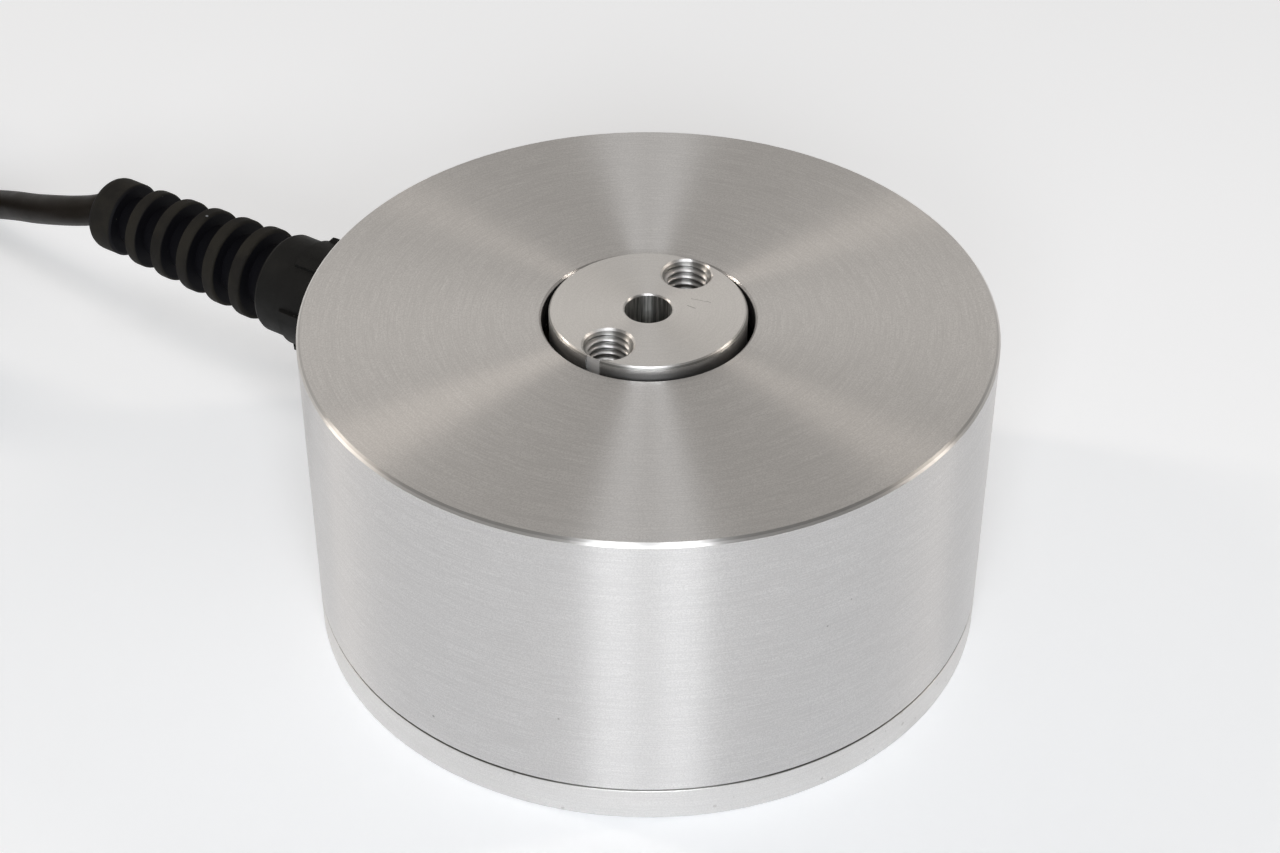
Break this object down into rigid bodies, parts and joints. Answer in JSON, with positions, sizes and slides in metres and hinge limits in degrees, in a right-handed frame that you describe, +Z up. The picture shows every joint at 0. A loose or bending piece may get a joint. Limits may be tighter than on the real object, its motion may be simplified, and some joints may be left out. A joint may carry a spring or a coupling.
{
  "type": "force torque sensor",
  "caption": "Turned aluminium force torque sensor with a raised threaded load hub and a black cable that leaves its side through a ribbed strain relief.",
  "frame": {"origin": "centre of the base plate's underside, on the mounting surface", "axes": "+Z up along the hub's axis, +X through the hub's two threaded holes with the rim mark on the -X side, +Y along the cable port"},
  "size_m": [0.088, 0.2615, 0.0455],
  "materials": {
    "turned_aluminium": "fine turned",
    "base_aluminium": "fine turned, slightly duller",
    "hub_aluminium": "machined",
    "seal_rubber": "smooth",
    "screw_steel": "plain",
    "pin_steel": "ground",
    "gauge_foil": "amber film",
    "contact_gold": "plated",
    "lead_red": "insulated",
    "spacer_brass": "turned",
    "board_green": "lacquered",
    "chip_black": "moulded",
    "capacitor_tan": "ceramic",
    "connector_ivory": "moulded",
    "core_blue": "insulated",
    "gland_plastic": "moulded",
    "boot_rubber": "matte, faintly dusty",
    "cable_jacket": "satin",
    "tie_black": "woven",
    "plug_metal": "satin nickel"
  },
  "bodies": {
    "root": {"base_plate": "base_aluminium", "housing": "turned_aluminium", "measuring_body": "hub_aluminium", "housing_seal": "seal_rubber", "housing_screws": "screw_steel", "ring_screws": "screw_steel", "dowel_pins": "pin_steel", "strain_gauges": "gauge_foil", "solder_terminals": "contact_gold", "gauge_leads": "lead_red", "board_spacers": "spacer_brass", "circuit_board": "board_green", "board_screws": "screw_steel", "amplifier_chips": "chip_black", "processor_chip": "chip_black", "board_capacitors": "capacitor_tan", "lead_header": "connector_ivory", "header_pins": "contact_gold", "lead_plug": "connector_ivory", "cable_cores": "core_blue", "gland_body": "gland_plastic", "gland_gasket": "seal_rubber", "clamping_claw": "gland_plastic", "cable_seal": "seal_rubber", "cap_nut": "gland_plastic", "ribbed_boot": "boot_rubber", "cable_in_gland": "cable_jacket", "cable": "cable_jacket", "cable_coil": "cable_jacket", "coil_tie": "tie_black", "plug_cable_nut": "plug_metal", "plug_shell": "plug_metal", "plug_grip": "plug_metal", "plug_insert": "chip_black", "plug_pins": "contact_gold"}
  },
  "joints": []
}
